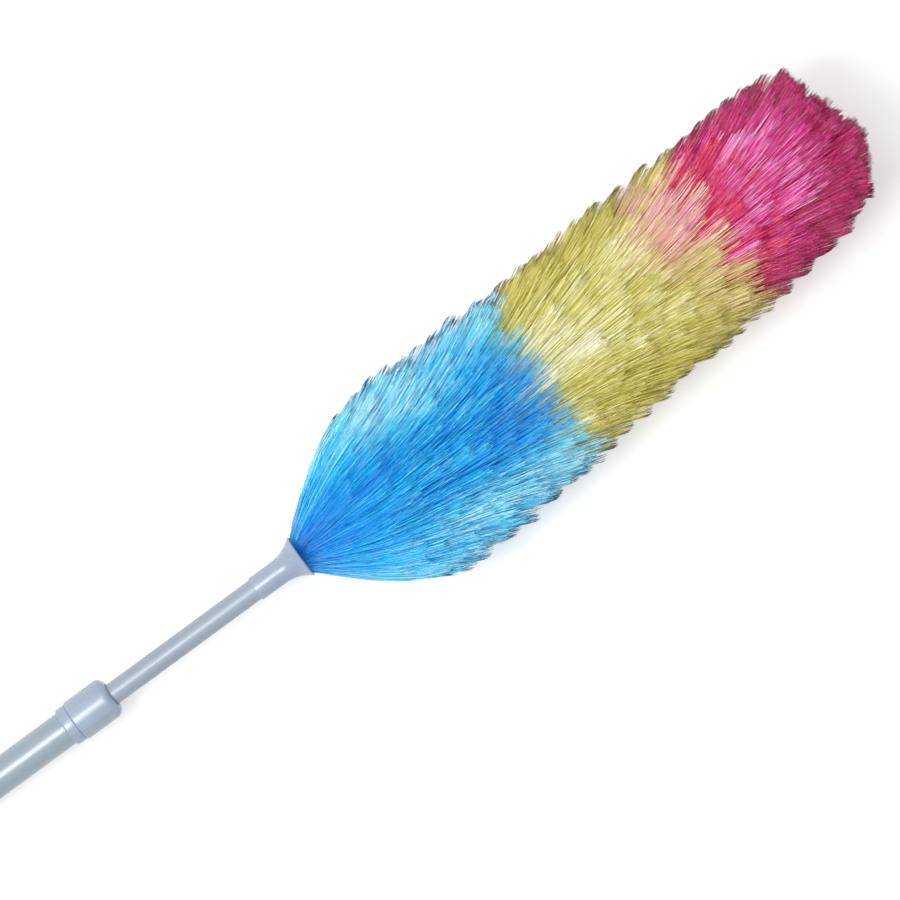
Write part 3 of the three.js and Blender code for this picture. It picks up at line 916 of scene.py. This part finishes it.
def steps(x, around):
    """Shallow steps in the head's surface, as a share of its radius.

    The fibres are wound on the core in a spiral, and each turn bulges into a step. The turns
    are not quite equal in length, and the steps are higher in some places than in others.
    """
    past_mouth = x - MOUTH
    slow_wave = 19 * MM
    unequal = 0.12 * np.sin(5 * around) + 0.4 * np.sin(past_mouth / slow_wave + around)
    turns = past_mouth / STEP_PITCH + around / (2 * math.pi) + unequal
    rounded = np.sin(math.pi * (turns % 1.0) ** 1.4)
    height = STEP_HEIGHT * (0.3 + 0.7 * np.cos(around) ** 2)
    return height * (1 + 0.5 * patches(past_mouth, around, size=25 * MM, phase=0.7)) * rounded


def inward(total):
    """How deep each strand lies under the head's surface; half of them are on top."""
    return DEEPEST * np.clip(RANDOM.uniform(-1, 1, total), 0.0, 1) ** 1.3


def row_ends(bunches, band, depth):
    """Where a row's strands end along the pole, deeper ones further forward."""
    wisp_end = shared(bunches.wisp, *band) + varied(bunches.lock, 1.5 * MM)
    end_x = wisp_end + CUT_LEAN * np.sqrt(DEEPEST * depth) * head_radius(wisp_end)
    end_x = end_x + varied(bunches.strand, 1.4 * MM)
    past_corner = np.clip(end_x - (MOUTH + HEAD_LENGTH - CORNER), 0, None)
    return end_x - HELD_BACK * past_corner


def row_end_radii(bunches, end_x, depth):
    """How far from the middle line a row's strands end."""
    unevenness = 1.0 + varied(bunches.lock, 0.010) + varied(bunches.wisp, 0.005)
    unevenness = unevenness + steps(end_x, bunches.end_around())
    return head_radius(end_x) * unevenness * (1 - depth)


def row_starts(node, end_x):
    """Where a row's strands spring from the core, or from the cup for the rearmost row."""
    total = len(end_x)
    if node == ROWS[0]:
        start_x = row_root(node) + RANDOM.uniform(-1, 0.5, total) * MM
        return start_x, RANDOM.uniform(0.3, 1.0, total) * CUP_RADIUS
    reach = row_reach(node)[0] - row_root(node)
    return end_x - reach + RANDOM.uniform(-6, 6, total) * MM, np.full(total, CORE_RADIUS)


def fibre_row(node, band):
    """One row's strands, sweeping forward from the core to the head's surface."""
    bunches = Bunches(STRANDS_PER_LENGTH * (band[1] - band[0]))
    depth = inward(len(bunches.strand))
    end_x = row_ends(bunches, band, depth)
    end_r = row_end_radii(bunches, end_x, depth)
    start_x, start_r = row_starts(node, end_x)
    lines, around = strand_lines(bunches, start_x, start_r, end_x, end_r)
    add_strands(node, lines, strand_tones(node, bunches, end_x, end_r, around))


def tip_tuft():
    """The bunch that springs from the core's end and fills the head's blunt, slanted tip."""
    bunches = Bunches(TUFT_STRANDS)
    total = len(bunches.strand)
    start_x = row_root(TUFT) + RANDOM.uniform(0, 4, total) * MM
    start_r = RANDOM.uniform(0.1, 1.0, total) * CORE_RADIUS
    share = np.sqrt(shared(bunches.wisp, 0.001, 1.1)) + varied(bunches.strand, 0.04)
    share = np.clip(share, 0.02, 1.08)
    end_r = share * TIP_RADII[-1] * (1 + varied(bunches.lock, 0.03))
    aside = share * np.cos(bunches.end_around())
    fallen = FALL_TO_LEFT * np.clip(aside - APEX_SIDE, 0, None)
    fallen = fallen + FALL_TO_RIGHT * np.clip(APEX_SIDE - aside, 0, None)
    fallen = fallen + FALL_TO_TOP * (share ** 2 - aside ** 2)
    end_x = MOUTH + APEX_LENGTH - fallen
    end_x = end_x + varied(bunches.wisp, 1.5 * MM) + varied(bunches.strand, 0.6 * MM)
    lines, around = strand_lines(bunches, start_x, start_r, end_x, end_r)
    add_strands(TUFT, lines, strand_tones(TUFT, bunches, end_x, end_r, around))


def fibre_head():
    """All the rows from the rear to the front, then the tuft."""
    for node, band in row_bands().items():
        fibre_row(node, band)
    tip_tuft()


# ---------------------------------------------------------------- the strands' tones

USUAL_TONE = 0.43
GLINTING = 0.12  # the share of strands made paler than those beside them: painted glints
PALER = 0.30

# Where the colours change: places past the ferrule's mouth, most with a start and an end.
# the blue's flanks are made pale over this stretch: painted highlight
FLANKS_PALE = (20 * MM, 90 * MM)
PINK_MIXES_IN = (278 * MM, 308 * MM)
STAIN_PLACE = 293 * MM
STAIN_HALF = 9 * MM
CRIMSON_ENDS = 348 * MM
CRIMSON_SLANT = 30 * MM  # the crimson reaches this much further on its own side
# the pink's end takes painted shade over this stretch
END_DARKENS = (390 * MM, 410 * MM)

# The sides that patches lie on: angles about the pole, from +y towards the top.
PINK_PATCH_SIDE = 1.1
STAIN_SIDE = 0.35
CRIMSON_SIDE = 0.9


def on_edge(around):
    """1 for strands along the head's two sides, 0 for those along its top."""
    return risen(np.abs(np.cos(around)), 0.6, 1.0)


def on_low_side(around):
    """1 for strands along the side at -y, 0 for those from the top to the other side."""
    return np.clip(-np.cos(around), 0, 1)


def mixed_in(tones, chance, others):
    """Strands taken by chance get a tone from the range of the others instead of their own."""
    taken = by_chance(chance)
    return np.where(taken, RANDOM.uniform(*others, len(tones)), tones)


def blue_tones(tones, past_mouth, around):
    """Deep blue along the middle and from the cup, pale on the flanks: painted highlight."""
    painted_flank_highlight = risen(np.abs(np.cos(around)), 0.25, 0.70) * risen(past_mouth, *FLANKS_PALE)
    return np.clip(tones - 0.31 + 0.60 * painted_flank_highlight, DARKEST_BLUE, 1.0)


def yellow_tones(tones, past_mouth, around):
    """Yellow shaded on its sides, with tan and pink fibres mixed in towards the pink."""
    # painted shade on both sides, most of all on the -y side
    painted_shade = 0.20 * risen(np.cos(around), 0.30, 0.75)
    painted_shade = painted_shade + 0.34 * on_edge(around) + 0.44 * on_low_side(around)
    tones = np.clip(tones + 0.06 - painted_shade, DARKEST_YELLOW, 1.0)
    near_pink = risen(past_mouth, *PINK_MIXES_IN)
    ragged = 0.05 * patches(past_mouth, around, size=20 * MM, phase=1.0)
    in_patch = risen(np.cos(around - PINK_PATCH_SIDE) + ragged, 0.80, 0.96)
    tones = mixed_in(tones, 0.5 * near_pink, TAN_IN_YELLOW)
    tones = mixed_in(tones, 0.85 * near_pink * in_patch, PINK_IN_YELLOW)
    # A small brownish stain lies on the upper edge, next to the pink.
    in_place = np.abs(past_mouth - STAIN_PLACE) < STAIN_HALF
    on_side = np.cos(around - STAIN_SIDE) > 0.97
    return np.where(by_chance(0.7 * (in_place & on_side)), STAIN_TONE, tones)


def pink_tones(tones, past_mouth, around):
    """Pink with painted shade on its sides and at its end, and crimson patches next to the yellow."""
    at_end = risen(past_mouth, *END_DARKENS)
    painted_shade = 0.75 * on_edge(around) + 0.40 * on_low_side(around) + 0.70 * at_end
    contrasted = 0.5 + 1.2 * (tones - 0.5) + 0.04
    tones = np.clip(contrasted - painted_shade, DARKEST_PINK, 1.0)
    crimson_end = CRIMSON_ENDS + CRIMSON_SLANT * np.cos(around - CRIMSON_SIDE)
    crimson = 1 - risen(past_mouth, crimson_end - 12 * MM, crimson_end + 4 * MM)
    in_patch = 0.7 + 1.8 * patches(past_mouth, around, size=11 * MM, phase=2.0)
    return mixed_in(tones, crimson * (1 - on_edge(around)) * in_patch, CRIMSON_IN_PINK)


ZONE_TONES = {"blue": blue_tones, "yellow": yellow_tones, "pink": pink_tones}


def strand_tones(node, bunches, end_x, end_r, around):
    """Each strand's place in its colour's range of tones, from 0 to 1."""
    past_mouth = end_x - MOUTH
    tones = USUAL_TONE + varied(bunches.lock, 0.05)
    tones = tones + varied(bunches.wisp, 0.09) + varied(bunches.strand, 0.14)
    # Some strands are made paler: painted glints.
    tones = tones + PALER * by_chance(np.full(len(tones), GLINTING))
    tones = tones + 0.17 * patches(past_mouth, around, size=60 * MM, phase=len(node))
    tones = ZONE_TONES[zone_of(node)](tones, past_mouth, around)
    # Most strands that end on the head's outline, seen from above, get a dark point of painted shade.
    height = end_r * np.sin(around) / head_radius(end_x)
    return np.where(by_chance(0.95 - 2.4 * np.abs(height - 0.05)), SHADED_POINT_TONE, tones)


# ---------------------------------------------------------------- camera, lights and floor

LEAN = math.radians(36.25)  # the pole's slope across the picture
SHOWN_WIDTH = 0.5424  # across the picture, at the pole's height
LOOK_PAST_MOUTH = 110 * MM
LOOK_ASIDE = -1.6 * MM
CAMERA_HEIGHT = 3.2
SENSOR = 36.0
FLOOR_HALF = 6.0


def camera():
    """Looks straight down, with the pole running up to the right."""
    target = Vector(place([(MOUTH + LOOK_PAST_MOUTH, LOOK_ASIDE, 0.0)])[0])
    right = Vector((math.cos(LEAN), -math.sin(LEAN), 0))
    up = Vector((math.sin(LEAN), math.cos(LEAN), 0))
    back = Vector((0, 0, 1))
    data = bpy.data.cameras.new("camera")
    data.sensor_width = SENSOR
    data.lens = SENSOR * CAMERA_HEIGHT / SHOWN_WIDTH
    data.clip_end = 50
    made = add_object("camera", data)
    turn = Matrix((right, up, back)).transposed()
    made.matrix_world = Matrix.LocRotScale(target + back * CAMERA_HEIGHT, turn, None)
    bpy.context.scene.camera = made
    return target, right, up


def area_light(name, spot, target, size, power):
    """A round light that faces the target."""
    data = bpy.data.lights.new(name, "AREA")
    data.shape = "DISK"
    data.size = size
    data.energy = power
    made = add_object(name, data)
    made.location = spot
    made.rotation_mode = "QUATERNION"
    made.rotation_quaternion = (target - spot).to_track_quat("-Z", "Y")


def lights(target, right, up):
    """A key over the handle's side, a broad window light from +y, and a faint sky."""
    behind = -(right * math.cos(LEAN) + up * math.sin(LEAN))
    key_spot = target + Vector((0, 0, 1.8)) + behind * 0.9 + up * 0.15
    window_spot = target + Vector((0, 0.5, 2.1))
    area_light("key", key_spot, target, size=0.9, power=28)
    area_light("window", window_spot, target, size=1.8, power=29)
    world = bpy.data.worlds.new("studio")
    bpy.context.scene.world = world
    world.use_nodes = True
    sky = world.node_tree.nodes["Background"]
    sky.inputs["Color"].default_value = (0.95, 0.97, 1.0, 1)
    sky.inputs["Strength"].default_value = 0.15


def floor():
    """A pale floor that glows, so that it is as white as the photo's ground."""
    material, tree, shader = new_material("floor")
    speckle = noise(tree, object_coords(tree), scale=40.0, detail=4.0)
    tone = ramp(tree, speckle, [(0.3, (0.60, 0.60, 0.60)), (0.7, (0.63, 0.63, 0.63))])
    tree.links.new(tone, shader.inputs["Base Color"])
    set_plain(shader, Roughness=0.8, Specular_IOR_Level=0.2)
    set_plain(shader, Emission_Color=(1.0, 1.0, 1.0, 1.0), Emission_Strength=0.50)
    mesh = bpy.data.meshes.new("floor")
    corners = [(FLOOR_HALF * x, FLOOR_HALF * y, 0) for x, y in ((-1, -1), (1, -1), (1, 1), (-1, 1))]
    mesh.from_pydata(corners, [], [(0, 1, 2, 3)])
    mesh.materials.append(material)
    add_object("floor", mesh)


# ---------------------------------------------------------------- the scene

tube("outer_tube", "outer_pole", TUBE_COAT)
tube("inner_tube", "inner_pole", INNER_COAT)
hand_grip()
end_cap()
collar_base()
lock_nut()
ferrule()
kept_nodes()
fibre_head()
lights(*camera())
floor()
bpy.context.scene.view_settings.view_transform = "Standard"
